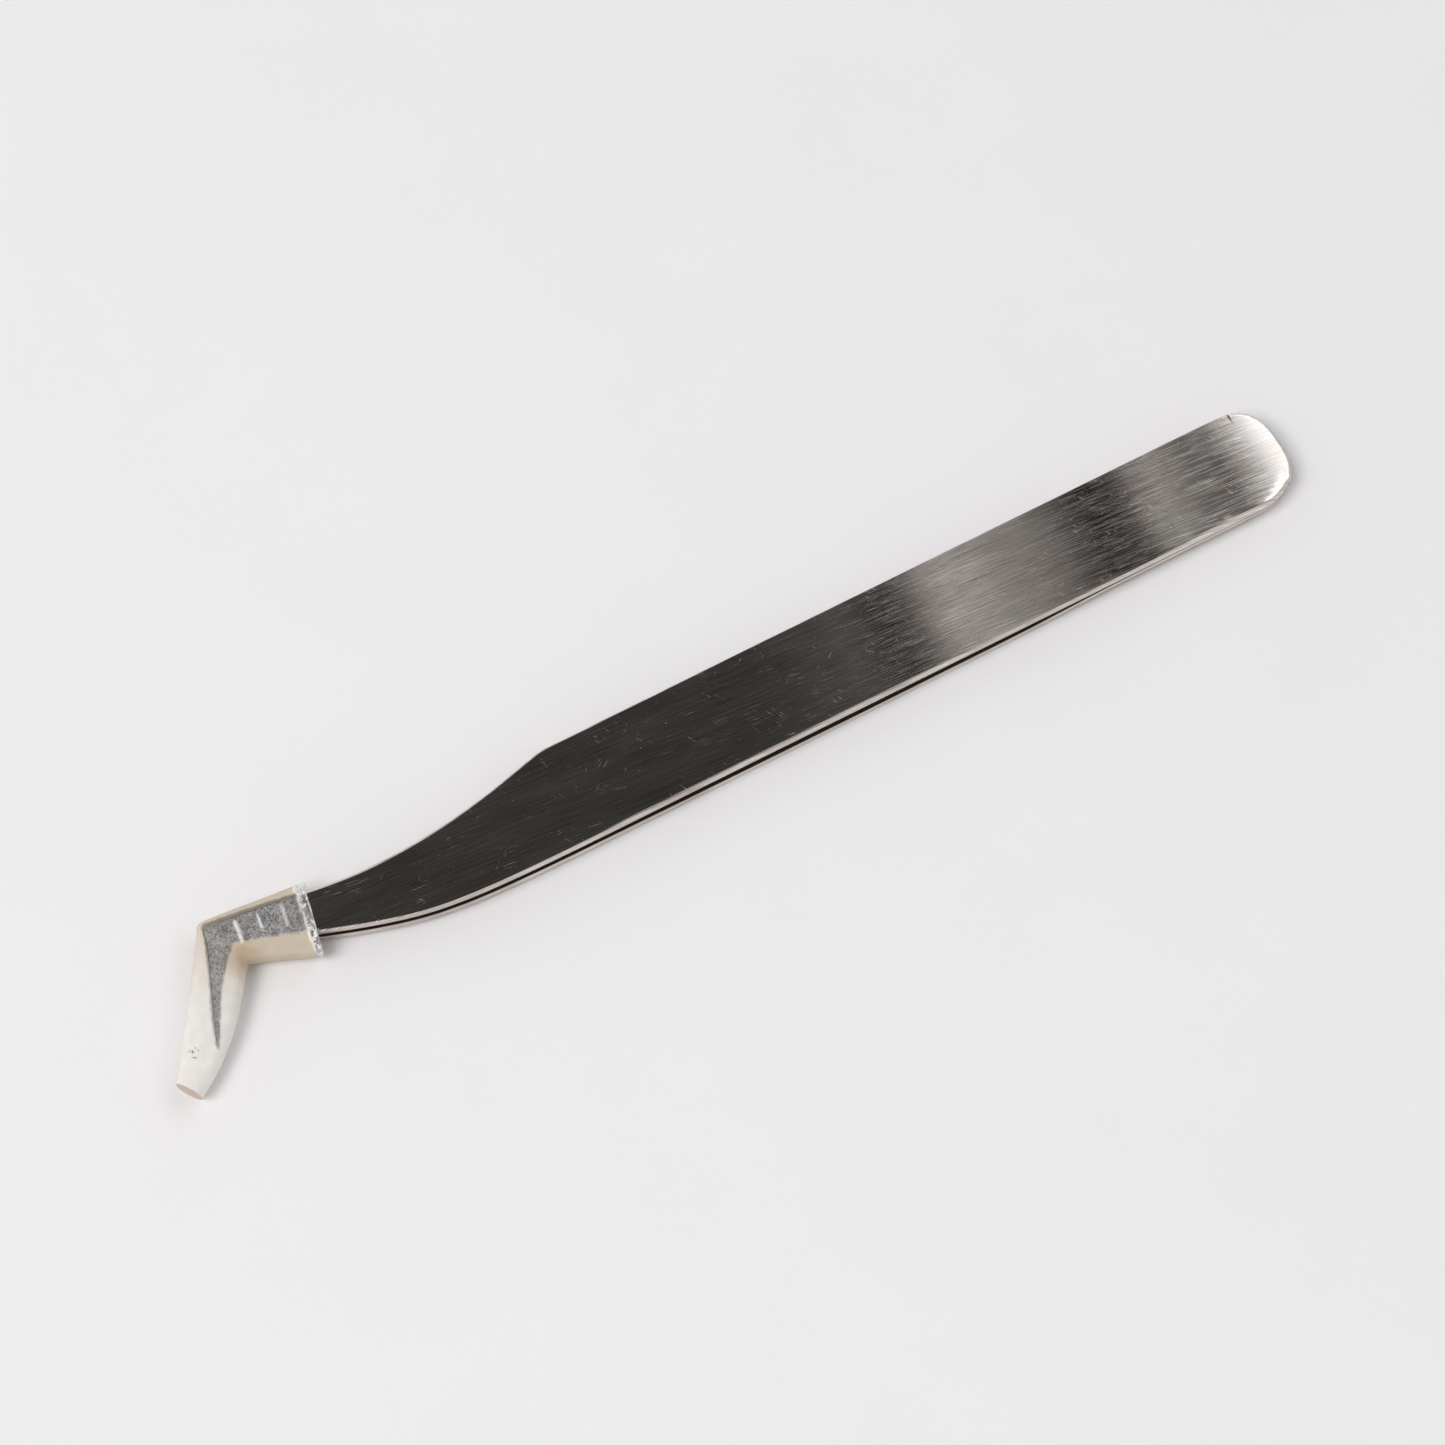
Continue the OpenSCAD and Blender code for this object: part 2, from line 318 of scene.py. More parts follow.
def outer_height(u, v, gap, share, side):
    """Height of a leaf's outer face: gap is each point's distance to the outline."""
    full = soft_least(thickness(u), leg_thickness(u, v))
    if side > 0:
        roll, reach, power = UPPER_ROLL, UPPER_ROLL_REACH, UPPER_ROLL_POWER
    else:
        roll, reach, power = LOWER_ROLL, LOWER_ROLL_REACH, LOWER_ROLL_POWER
    full = full - roll * np.clip(1 - u / reach, 0, 1) ** power
    radius = edge_radius(u, share, side)
    radius = np.minimum(radius, np.minimum(LEG_PART * leg_thickness(u, v), FACE_PART * full))
    inside = np.clip(radius - gap, 0, radius)
    drop = radius - np.sqrt(np.maximum(radius ** 2 - inside ** 2, 0))
    wave = 0
    if side > 0:
        bevel = np.interp(u, *BEVEL_SHARE) * (1 - ramp(share, 0.35, 0.65))
        drop = drop + BEVEL_DROP * bevel * np.clip(1 - gap / BEVEL_WIDTH, 0, 1)
        wave = face_wave(u)
    return inner_height(u, side) + side * (full - drop) + wave


def hollow(u):
    """How far the inner faces are ground back, which widens the gap between the leaves."""
    return np.interp(u, *HOLLOW)


def face_wave(u):
    """What grinding takes off and leaves, so that the upper face rises evenly to the belly."""
    rise = BELLY_THICKNESS - TAIL_THICKNESS
    even = rise * np.clip((u - WAVE_FROM) / (FLAT_TO - WAVE_FROM), 0, 1)
    return even - rise * ramp(u, WELD_LENGTH, FLAT_FROM)


INNER_ROUND = 0.06
WALL_ROWS = 3
UV_MM = 0.01         # one UV unit is 100 mm
STEEL_SHARP, VINYL_SHARP = 38, 60     # degrees past which an edge is drawn sharp


def make_mesh(name, points, faces, uv, materials, sharp):
    """A mesh piece from points in millimetres of the design, with one UV point a vertex."""
    mesh = bpy.data.meshes.new(name)
    mesh.from_pydata([place(*p) for p in points], [], faces)
    layer = mesh.uv_layers.new(name="plan")
    corners = np.zeros(len(mesh.loops), int)
    mesh.loops.foreach_get("vertex_index", corners)
    layer.data.foreach_set("uv", np.asarray(uv, np.float32)[corners].ravel())
    mesh.polygons.foreach_set("use_smooth", [True] * len(mesh.polygons))
    mesh.validate()
    mesh.update()
    piece = bpy.data.objects.new(name, mesh)
    bpy.context.scene.collection.objects.link(piece)
    for material in materials:
        mesh.materials.append(material)
    mesh.set_sharp_from_angle(angle=math.radians(sharp))
    return piece


def set_attribute(piece, name, values, domain="POINT"):
    made = piece.data.attributes.new(name, "FLOAT", domain)
    made.data.foreach_set("value", np.asarray(values, np.float32))


def make_leaf(name, side, material):
    """One leaf from the rounded tail to the hooked point; side is 1 for the upper leaf."""
    grid = plan_grid()
    rows, columns = grid.shape[:2]
    loop = border(rows, columns)
    plan = grid.reshape(-1, 2)
    outline = np.array([grid[i, j] for i, j in loop])
    gap = edge_distance(plan, outline)
    u, v = plan[:, 0], plan[:, 1]
    share = np.tile(np.linspace(0, 1, columns), rows)
    outer = outer_height(u, v, gap, share, side)
    inside = np.clip(INNER_ROUND - gap, 0, INNER_ROUND)
    rounding = INNER_ROUND - np.sqrt(INNER_ROUND ** 2 - inside ** 2)
    inner = inner_height(u, side) + side * (hollow(u) + rounding)
    points = [(*p, z) for p, z in zip(plan, outer)] + [(*p, z) for p, z in zip(plan, inner)]
    uv = [(a, b) for a, b in plan] + [(a, b) for a, b in plan]
    size = rows * columns
    faces = []
    for i in range(rows - 1):
        for j in range(columns - 1):
            a = i * columns + j
            quad = (a, a + 1, a + columns + 1, a + columns)
            faces.append(quad if side > 0 else quad[::-1])
            quad = tuple(size + k for k in quad)
            faces.append(quad[::-1] if side > 0 else quad)
    rings = [[i * columns + j for i, j in loop]]
    for step in range(1, WALL_ROWS):
        share = step / WALL_ROWS
        ring = []
        for index in rings[0]:
            top, low = outer[index], inner[index]
            ring.append(len(points))
            points.append((*plan[index], top + (low - top) * share))
            outward = math.copysign(abs(top - low) * share, plan[index][1])
            uv.append((plan[index][0], plan[index][1] + outward))
        rings.append(ring)
    rings.append([size + index for index in rings[0]])
    for first, second in zip(rings, rings[1:]):
        for k in range(len(first)):
            n = (k + 1) % len(first)
            quad = (first[k], second[k], second[n], first[n])
            faces.append(quad if side > 0 else quad[::-1])
    leaf = make_mesh(name, points, faces, np.array(uv) * UV_MM, [material], STEEL_SHARP)
    edge = np.zeros(len(points), np.float32)
    edge[:2 * size] = np.concatenate([gap, gap])
    set_attribute(leaf, "edge_gap", edge)
    # Marks the inner faces, which the steel colours with a painted shade
    inner_face = np.zeros(len(faces), np.float32)
    inner_face[1:2 * (rows - 1) * (columns - 1):2] = 1
    set_attribute(leaf, "inner_face", inner_face, "FACE")
    return leaf


# ---------------------------------------------------------------- the cap
CAP_WALL = 0.42
RING_POINTS = 88
GRIP_STEPS, TURN_STEPS, LEG_STEPS = 92, 14, 50
CAP_MOUTH_SPINE = point2(MOUTH_AT, 4.05)
CAP_MOUTH_BELLY = point2(MOUTH_AT + 1.4, -3.4)
CAP_HEEL = point2(LEAF_LENGTH - 3.4, 4.95)
CAP_CROOK = point2(LEAF_LENGTH - 6.4, -0.75)
CAP_END_SPINE = point2(LEAF_LENGTH + 4.9, -8.5)
CAP_END_BELLY = point2(LEAF_LENGTH + 3.2, -10.85)

turn_end = CAP_HEEL + (0.2, -0.75)
crook_end = CAP_CROOK + (0.3, -0.25)
cap_spine = joined(
    curve(CAP_MOUTH_SPINE, CAP_MOUTH_SPINE + (4, 0.3), CAP_HEEL + (-4, -0.2),
          CAP_HEEL + (-0.8, 0), GRIP_STEPS),
    curve(CAP_HEEL + (-0.8, 0), CAP_HEEL + (-0.1, -0.05), CAP_HEEL + (0.1, -0.3),
          turn_end, TURN_STEPS),
    curve(turn_end, turn_end + (2.4, -4), CAP_END_SPINE + (-2.2, 3.4), CAP_END_SPINE, LEG_STEPS),
)
cap_belly = joined(
    curve(CAP_MOUTH_BELLY, CAP_MOUTH_BELLY + (2.2, 0.8), CAP_CROOK + (-2, -0.6),
          CAP_CROOK, GRIP_STEPS),
    curve(CAP_CROOK, CAP_CROOK + (0.1, 0), CAP_CROOK + (0.2, -0.1), crook_end, TURN_STEPS),
    curve(crook_end, crook_end + (1.9, -2.75), CAP_END_BELLY + (-5.3, 3.3),
          CAP_END_BELLY, LEG_STEPS),
)
CAP_RINGS = len(cap_spine)

# Wrinkles over the flat metal: where each starts and ends, its height and its width
WRINKLES = (
    (point2(116.9, 3.05), point2(117.1, 0.8), 0.16, 0.17),
    (point2(114.7, 2.65), point2(114.9, 0.9), 0.15, 0.14),
    (point2(112.25, 2.5), point2(112.5, 0.1), 0.09, 0.2),
)


def leg_share(i):
    return float(ease((i - GRIP_STEPS) / (CAP_RINGS - 1 - GRIP_STEPS)))


# Each is the value at the grip and its change towards the closed end
SECTION_LOW, LOW_CHANGE = 0.02, 0.19
SECTION_TOP, TOP_CHANGE = 3.93, -0.62
SECTION_POWER, POWER_CHANGE = 2.9, -0.75      # how square the section is


def cap_section(i, inset):
    """Middle, half-width vector, half-height, centre height and squareness of a ring."""
    a, b = cap_spine[i], cap_belly[i]
    width = np.linalg.norm(a - b)
    share = leg_share(i)
    low = SECTION_LOW + LOW_CHANGE * share
    top = SECTION_TOP + TOP_CHANGE * share
    reach = (a - b) / width * (width / 2 - inset)
    power = 2 / (SECTION_POWER + POWER_CHANGE * share)
    return (a + b) / 2, reach, (top - low) / 2 - inset, (top + low) / 2, power


def wrinkle_height(u, v):
    """How far the wrinkles raise the top of the cap there."""
    here = point2(u, v)
    height = 0.0
    for start, end, rise, width in WRINKLES:
        run = end - start
        t = (here - start) @ run / (run @ run)
        side = abs((here - start)[0] * run[1] - (here - start)[1] * run[0]) / np.linalg.norm(run)
        ends = float(ramp(t, -0.12, 0.12) * (1 - ramp(t, 0.85, 1.1)))
        height += rise * ends * math.exp(-((side / width) ** 2))
    return height


FOLD_AT, FOLD_WIDTH, FOLD_RISE = 0.7, 0.12, 0.1      # the fold behind the mouth
FLARE_LENGTH, FLARE_RISE = 0.35, 0.1                 # the mouth's flare
PINCH_WIDTH, PINCH_DEPTH = 0.7, 0.22                 # the dent in the crook
LUMP_SIZE = 0.035


def cap_relief(i, angle, u, v, length):
    """How far the outer wall stands out of its plain section there, and how strong a painted
    highlight it gets.
    """
    topside = float(ramp(math.sin(angle), 0.1, 0.6))
    wobble = noise.noise(Vector((u * 1.3, v * 1.3, 4.0)))
    wrinkle = wrinkle_height(u + 0.12 * wobble, v) * topside
    from_fold = (length - FOLD_AT - 0.15 * wobble) / FOLD_WIDTH
    mouth_fold = math.exp(-(from_fold ** 2)) * topside
    flare = max(0.0, 1 - length / FLARE_LENGTH) ** 2
    lumps = noise.noise(Vector((u * 0.8, v * 0.8, math.sin(angle) * 2.0)))
    crook_gap = np.linalg.norm(point2(u, v) - CAP_CROOK - (0.2, 0.35))
    pinch = math.exp(-((crook_gap / PINCH_WIDTH) ** 2)) * topside
    out = wrinkle + FOLD_RISE * mouth_fold + FLARE_RISE * flare - PINCH_DEPTH * pinch
    out += LUMP_SIZE * lumps * (1 - leg_share(i))
    return out, min(1.0, wrinkle / 0.12 + 0.9 * mouth_fold)


# Where each tag or nick of the rim is round the mouth, its width and how far it reaches out
RIM_TAGS = ((0.55, 0.16, 0.22), (0.85, 0.08, -0.3))
RIM_WAVE = 0.09
RIM_REACH = 1.6      # the rim's unevenness dies away over this length


def mouth_shift(angle):
    """How far the uneven rim reaches out at that angle round the mouth."""
    shift = RIM_WAVE * noise.noise(Vector((math.cos(angle) * 1.7, math.sin(angle) * 1.7, 0.3)))
    for at, width, out in RIM_TAGS:
        shift += out * math.exp(-((math.remainder(angle - at, 2 * math.pi) / width) ** 2))
    return shift


def cap_length(i):
    """Length of the cap from its mouth to a ring, along its middle."""
    middle = (cap_spine[:i + 1] + cap_belly[:i + 1]) / 2
    return float(np.linalg.norm(np.diff(middle, axis=0), axis=1).sum())


LOWEST = 0.01        # the cap stays this far above the floor


def cap_ring(i, inset, outer):
    """One ring of the cap, as points (along, across, up)."""
    middle, reach, rise, centre, power = cap_section(i, inset)
    length = cap_length(i)
    points, fold_highlights = [], []
    for k in range(RING_POINTS):
        angle = 2 * math.pi * k / RING_POINTS
        w = math.copysign(abs(math.cos(angle)) ** power, math.cos(angle))
        h = math.copysign(abs(math.sin(angle)) ** power, math.sin(angle))
        u, v = middle + reach * w
        up = centre + rise * h
        highlight = 0.0
        if outer:
            out, highlight = cap_relief(i, angle, u, v, length)
            sideways = reach / np.linalg.norm(reach)
            u, v = point2(u, v) + sideways * out * math.cos(angle) * 0.6
            up += out * math.sin(angle)
        u -= mouth_shift(angle) * max(0.0, 1 - length / RIM_REACH) ** 2
        points.append((u, v, max(up, LOWEST)))
        fold_highlights.append(highlight)
    return points, fold_highlights


INNER_END = 3        # the inner wall stops this many rings short of the closed end
RIM_INSETS = (0.8, 0.5, 0.2)
RIM_BULGE = 0.16
END_RINGS = ((0.99, 0.05), (0.96, 0.09), (0.91, 0.10), (0.7, 0.09), (0.4, 0.08))
END_FACE_RINGS = 4   # of those, the ones drawn as the cut end
WRAP_RADIUS = 3.0    # of the UV map's way round the cap


def make_cap(outside, inside):
    """The soft cap: outer wall, rolled rim, inner wall and closed end, in one skin."""
    rings, lengths, fold_highlights = [], [], []

    def add_ring(points, length, highlights=None):
        rings.append([tuple(p) for p in points])
        lengths.append(length)
        fold_highlights.extend(highlights or [0.0] * RING_POINTS)

    for i in range(CAP_RINGS - INNER_END, -1, -1):
        add_ring(cap_ring(i, CAP_WALL, False)[0], cap_length(i))
    for inset in RIM_INSETS:
        rim = np.array(cap_ring(0, CAP_WALL * inset, inset < 0.6)[0])
        rim[:, 0] -= RIM_BULGE * math.sin(math.pi * inset)
        add_ring(rim, 0)
    for i in range(CAP_RINGS):
        ring, highlights = cap_ring(i, 0, True)
        add_ring(ring, cap_length(i), highlights)
    last = np.array(rings[-1])
    middle = last.mean(axis=0)
    onward = np.array([*(cap_spine[-1] - cap_spine[-2]), 0])
    onward /= np.linalg.norm(onward)
    for shrink, push in END_RINGS:
        add_ring(middle + (last - middle) * shrink + onward * push, lengths[-1])
    points = [p for ring in rings for p in ring]
    around = [WRAP_RADIUS * abs(math.remainder(2 * math.pi * k / RING_POINTS, 2 * math.pi))
              for k in range(RING_POINTS)]
    uv = [(length, way) for length in lengths for way in around]
    faces = []
    for r in range(len(rings) - 1):
        for k in range(RING_POINTS):
            n = (k + 1) % RING_POINTS
            a, b = r * RING_POINTS, (r + 1) * RING_POINTS
            faces.append((a + k, a + n, b + n, b + k))
    for start, turn in ((0, 1), ((len(rings) - 1) * RING_POINTS, -1)):
        centre = np.mean(points[start:start + RING_POINTS], axis=0)
        points.append(tuple(centre))
        uv.append((uv[start][0], around[RING_POINTS // 4]))
        fold_highlights.append(0.0)
        for k in range(RING_POINTS):
            n = (k + 1) % RING_POINTS
            face = (start + n, start + k, len(points) - 1)
            faces.append(face if turn > 0 else face[::-1])
    sleeve = make_mesh("cap_sleeve", points, faces, np.array(uv) * UV_MM, [outside, inside],
                       VINYL_SHARP)
    inner_faces = (CAP_RINGS - INNER_END) * RING_POINTS
    slots = [1 if k < inner_faces else 0 for k in range(len(sleeve.data.polygons))]
    sleeve.data.polygons.foreach_set("material_index", slots)
    plan = np.array(points)[:, :2]
    grid = plan_grid()
    outline = np.array([grid[i, j] for i, j in border(*grid.shape[:2])])
    beyond = edge_distance(plan, outline) * np.where(inside_loop(plan, outline), -1, 1)
    wobble = [noise.noise(Vector((u * 2.2, v * 2.2, 9.0))) for u, v in plan]
    # The fold attribute carries the painted highlight on the wrinkles and the fold behind the
    # mouth
    set_attribute(sleeve, "fold", fold_highlights)
    set_attribute(sleeve, "off_metal", beyond + 0.12 * np.array(wobble))
    end_points = END_FACE_RINGS * RING_POINTS + 1
    set_attribute(sleeve, "end_face", np.arange(len(points)) >= len(points) - end_points)
    return sleeve


# ---------------------------------------------------------------- materials
class Graph:
    """Builds a node tree."""

    def __init__(self, tree):
        self.tree = tree
        tree.nodes.clear()

    def node(self, kind, sockets=None, **properties):
        made = self.tree.nodes.new("ShaderNode" + kind)
        for name, value in properties.items():
            setattr(made, name, value)
        for key, value in (sockets or {}).items():
            self.fill(made.inputs[key], value)
        return made

    def fill(self, socket, value):
        if isinstance(value, bpy.types.NodeSocket):
            self.tree.links.new(value, socket)
        else:
            socket.default_value = value

    def math(self, operation, a, b=0.0, clamp=False):
        return self.node("Math", {0: a, 1: b}, operation=operation, use_clamp=clamp).outputs[0]

    def times(self, a, b):
        return self.math("MULTIPLY", a, b)

    def plus(self, a, b):
        return self.math("ADD", a, b)

    def fade(self, value, start, end, low=0.0, high=1.0):
        """value mapped smoothly from start..end to low..high."""
        sockets = {"Value": value, "From Min": start, "From Max": end,
                   "To Min": low, "To Max": high}
        return self.node("MapRange", sockets, interpolation_type="SMOOTHSTEP").outputs[0]

    def stretched(self, vector, scale, turn=0.0, shift=0.0):
        sockets = {"Vector": vector, "Scale": scale, "Rotation": (0, 0, math.radians(turn)),
                   "Location": (shift, shift, 0)}
        return self.node("Mapping", sockets, vector_type="TEXTURE").outputs[0]

    def noise(self, vector, scale=1.0, detail=2.0, roughness=0.5):
        sockets = {"Vector": vector, "Scale": scale, "Detail": detail, "Roughness": roughness}
        return self.node("TexNoise", sockets).outputs[0]

    def mixed(self, share, a, b):
        """Colour a where share is 0 and b where it's 1."""
        return self.node("MixRGB", {0: share, 1: a, 2: b}).outputs[0]

    def tinted(self, colour, tint):
        return self.node("MixRGB", {0: 1.0, 1: colour, 2: tint}, blend_type="MULTIPLY").outputs[0]

    def bump(self, height, strength, distance):
        sockets = {"Strength": strength, "Distance": distance, "Height": height}
        return self.node("Bump", sockets).outputs[0]

    def colours(self, value, *stops):
        """A colour ramp; each stop is (place, (red, green, blue))."""
        made = self.node("ValToRGB", {"Fac": value})
        ramp_elements = made.color_ramp.elements
        while len(ramp_elements) < len(stops):
            ramp_elements.new(1.0)
        for element, (at, colour) in zip(ramp_elements, stops):
            element.position = at
            element.color = (*colour, 1)
        return made.outputs[0]


def new_material(name):
    material = bpy.data.materials.new(name)
    material.use_nodes = True
    return material, Graph(material.node_tree)


def plan_coordinates(g):
    """(along, across) in millimetres, from the UV map."""
    uv = g.node("UVMap", uv_map="plan").outputs[0]
    factors = (1 / UV_MM, 1 / UV_MM, 1)
    plan = g.node("VectorMath", {0: uv, 1: factors}, operation="MULTIPLY").outputs[0]
    return plan, g.node("SeparateXYZ", {0: plan}).outputs


def place_coordinates(g):
    """The point in the frame, in millimetres."""
    where = g.node("TexCoord").outputs["Object"]
    return g.node("VectorMath", {0: where, 3: 1 / MM}, operation="SCALE").outputs[0]


def scratches(g, plan, turn, length, low, shift):
    """Thin lines in one direction: 1 on a scratch and 0 off it."""
    lines = g.noise(g.stretched(plan, (length, SCUFF_WIDTH, 1), turn, shift), 1.0, 1.0)
    patches = g.noise(g.stretched(plan, (5, 3, 1), 0, shift), 1.0, 1.0)
    here = g.fade(lines, low, low + 0.06)
    return g.times(here, g.fade(patches, 0.50, 0.68))


BRUSH_TURN = 4      # degrees between the brushing and the handle
# A nick in the spine edge near the tail, drawn only as a small patch of painted shade
NICK = point2(3.2, HALF_WIDTH - 0.45)
NICK_LENGTH = 1.1

# Distances along between which each finish fades in
HANDLE_FINISH = (64, 44)
TAIL_FINISH = (19, 15)
END_FINISH = (4.5, 1.5)
TIP_FINISH = (109.9, 110.7)
# Each set of scratches has its turn, length, threshold and shift
SCUFFS = ((8, 3.0, 0.68, 3), (60, 1.6, 0.70, 17), (-38, 1.4, 0.71, 31))
SCUFF_WIDTH = 0.05

# Colours along each pattern's value
STEEL_TONES = ((0.0, (0.36, 0.325, 0.295)), (0.5, (0.645, 0.585, 0.54)), (1.0, (1.0, 0.95, 0.905)))
TINTS = ((0.35, (0.985, 0.995, 0.985)), (0.65, (1.0, 0.97, 0.955)))
GROUND_TONES = ((0.28, (0.26, 0.28, 0.33)), (0.48, (0.76, 0.77, 0.80)), (0.66, (1.0, 1.0, 1.0)))
GROUND_TINTS = ((0.40, (0.93, 0.96, 1.0)), (0.60, (1.0, 0.95, 0.93)))
NICK_SHADE_COLOUR = (0.08, 0.08, 0.08, 1)
# Painted shade: the colour of the inner faces, so the gap between the leaves reads dark
GAP_SHADE_COLOUR = (0.15, 0.12, 0.10, 1)
TIP_ROUGHNESS, INNER_ROUGHNESS, SCUFF_ROUGHNESS, STREAK_ROUGHNESS = 0.6, 0.4, 0.28, 0.28
BUMP_HEIGHT = 0.000006


def steel_material():
    """Stainless steel: brushed lengthwise on the handle, polished in front, ground at the tip."""
    material, g = new_material("brushed_steel")
    plan, (along, across, _) = plan_coordinates(g)
    handle, tail, end, tip = [g.fade(along, *finish) for finish in
                              (HANDLE_FINISH, TAIL_FINISH, END_FINISH, TIP_FINISH)]
    lines = g.noise(g.stretched(plan, (10.0, 0.12, 1), BRUSH_TURN), 1.0, 2.0, 0.65)
    hairs = g.noise(g.stretched(plan, (3.5, 0.07, 1), BRUSH_TURN, 9), 1.0, 1.0, 0.5)
    patches = g.noise(g.stretched(plan, (9, 2.5, 1), BRUSH_TURN, 5), 1.0, 0.0)
    tints = g.noise(g.stretched(plan, (5, 3, 1), 0, 31), 1.0, 1.0, 0.5)
    brushing = g.plus(g.times(lines, 0.55), g.times(hairs, 0.45))
    streaks = g.noise(g.stretched(plan, (5.0, 0.07, 1), BRUSH_TURN, 21), 1.0, 0.0)
    streaks = g.times(g.fade(streaks, 0.58, 0.66), g.fade(tail, 0, 1, 0.28, 0.65))
    streaks = g.times(streaks, g.fade(end, 0, 1, 1, 0.3))
    scuffs = 0.0
    for turn, length, low, shift in SCUFFS:
        scuffs = g.math("MAXIMUM", scuffs, scratches(g, plan, turn, length, low, shift))
    specks = g.fade(g.noise(plan, 3.2, 1.0, 0.5), 0.74, 0.80)
    cells = g.node("TexVoronoi", {"Vector": plan, "Scale": 7.0}).outputs["Color"]
    grain = g.plus(g.times(cells, 0.6), g.times(g.noise(plan, 4.0, 2.0, 0.7), 0.4))

    contrast = g.times(g.fade(handle, 0, 1, 2.6, 2.2), g.fade(end, 0, 1, 1, 0.35))
    shade = g.times(g.math("SUBTRACT", brushing, 0.5), contrast)
    blotches = g.times(g.math("SUBTRACT", patches, 0.5), g.fade(handle, 0, 1, 0.45, 0.25))
    shade = g.plus(shade, blotches)
    shade = g.plus(shade, g.times(streaks, g.times(handle, 0.8)))
    shade = g.plus(shade, g.times(g.plus(scuffs, specks), g.fade(handle, 0, 1, 0.5, 0.1)))
    shade = g.math("ADD", shade, 0.5, True)
    steel = g.tinted(g.colours(shade, *STEEL_TONES), g.colours(tints, *TINTS))
    # Painted shade where the nick is: a small dark patch in the colour
    nick_shade = g.times(g.fade(g.math("ABSOLUTE", g.math("SUBTRACT", along, NICK[0])), 0.14, 0.07),
                   g.fade(across, NICK[1] - NICK_LENGTH, NICK[1]))
    steel = g.mixed(nick_shade, steel, NICK_SHADE_COLOUR)
    edge = g.node("Attribute", attribute_name="edge_gap").outputs["Fac"]
    sheen = g.colours(g.noise(plan, 3.0, 1.0, 0.5), *GROUND_TINTS)
    ground = g.tinted(g.colours(grain, *GROUND_TONES), sheen)
    # Painted shade: the ground tip's colour darkens towards its outline, patchily
    rim = g.times(g.fade(edge, 0.03, 0.24, 0.35, 1.0),
                  g.fade(g.noise(plan, 0.8, 2.0, 0.6), 0.36, 0.62, 0.72, 1.1))
    ground = g.node("VectorMath", {0: ground, 3: rim}, operation="SCALE").outputs[0]
    # Painted shade: the leaves' inner faces, seen down the gap between them, take a dark colour
    inner = g.node("Attribute", attribute_name="inner_face").outputs["Fac"]
    colour = g.mixed(inner, g.mixed(tip, steel, ground), GAP_SHADE_COLOUR)

    rough = g.fade(handle, 0, 1, 0.08, 0.085)
    rough = g.plus(rough, g.times(g.math("SUBTRACT", brushing, 0.5), 0.06))
    rough = g.plus(rough, g.times(g.plus(scuffs, specks), SCUFF_ROUGHNESS))
    for share, least in ((g.times(streaks, handle), STREAK_ROUGHNESS), (tip, TIP_ROUGHNESS),
                         (inner, INNER_ROUGHNESS)):
        rough = g.math("MAXIMUM", rough, g.times(share, least))
    height = g.times(brushing, g.fade(handle, 0, 1, 0.3, 1.0))
    height = g.plus(height, g.times(streaks, g.times(handle, 0.6)))
    height = g.plus(height, g.times(scuffs, -1.0))
    height = g.plus(height, g.times(g.times(grain, tip), 12.0))
    bump = g.bump(height, 0.35, BUMP_HEIGHT)
    tangent = g.node("Tangent", direction_type="UV_MAP", uv_map="plan").outputs[0]
    shader = g.node("BsdfPrincipled", {
        "Base Color": colour, "Metallic": g.fade(tip, 0, 1, 1.0, 0.84), "Roughness": rough,
        "Normal": bump, "Anisotropic": 1.0, "Anisotropic Rotation": 0.25, "Tangent": tangent,
    })
    g.node("OutputMaterial", {0: shader.outputs[0]})
    return material


def weld_material():
    """Fused weld metal with a faint straw tint."""
    material, g = new_material("weld_steel")
    where = g.node("TexCoord").outputs["Object"]
    grain = g.noise(where, 3000.0, 4.0, 0.6)
    colour = g.colours(grain, (0.3, (0.42, 0.38, 0.33)), (0.7, (0.56, 0.53, 0.49)))
    bump = g.bump(grain, 0.4, 0.00005)
    rough = g.fade(grain, 0.2, 0.8, 0.3, 0.5)
    shader = g.node("BsdfPrincipled", {
        "Base Color": colour, "Metallic": 1.0, "Roughness": rough, "Normal": bump,
    })
    g.node("OutputMaterial", {0: shader.outputs[0]})
    return material


BLEMISH = point2(LEAF_LENGTH + 2.2, -7.0)
BLEMISH_HEIGHT = 3.2
CROOK_FOLD = CAP_CROOK + (0.3, 0.1)
CROOK_FOLD_HEIGHT = 3.4
GRIP_CREAM = (0.70, 0.60, 0.47, 1)
LEG_CREAM = (0.90, 0.82, 0.74, 1)
END_CREAM = (0.96, 0.93, 0.88, 1)
OUTLINE_CREAM = (0.60, 0.46, 0.34, 1)
# Painted shadow in the crook's fold, brown on the cream
CROOK_SHADE_CREAM = (0.52, 0.38, 0.24, 1)
# Painted shade: the closed end's face is coloured darker than the rest of the cap
END_SHADE_CREAM = (0.60, 0.49, 0.42, 1)
# Painted highlight on the wrinkles, the fold behind the mouth and the lip
FOLD_HIGHLIGHT = (0.97, 0.96, 0.94, 1)
FLECK_GREY = (0.30, 0.29, 0.28, 1)
CLEAR_VINYL = (0.985, 0.98, 0.975, 1)
GLOSS = (0.97, 0.95, 0.92, 1)
MOST_GLOSS = 0.07


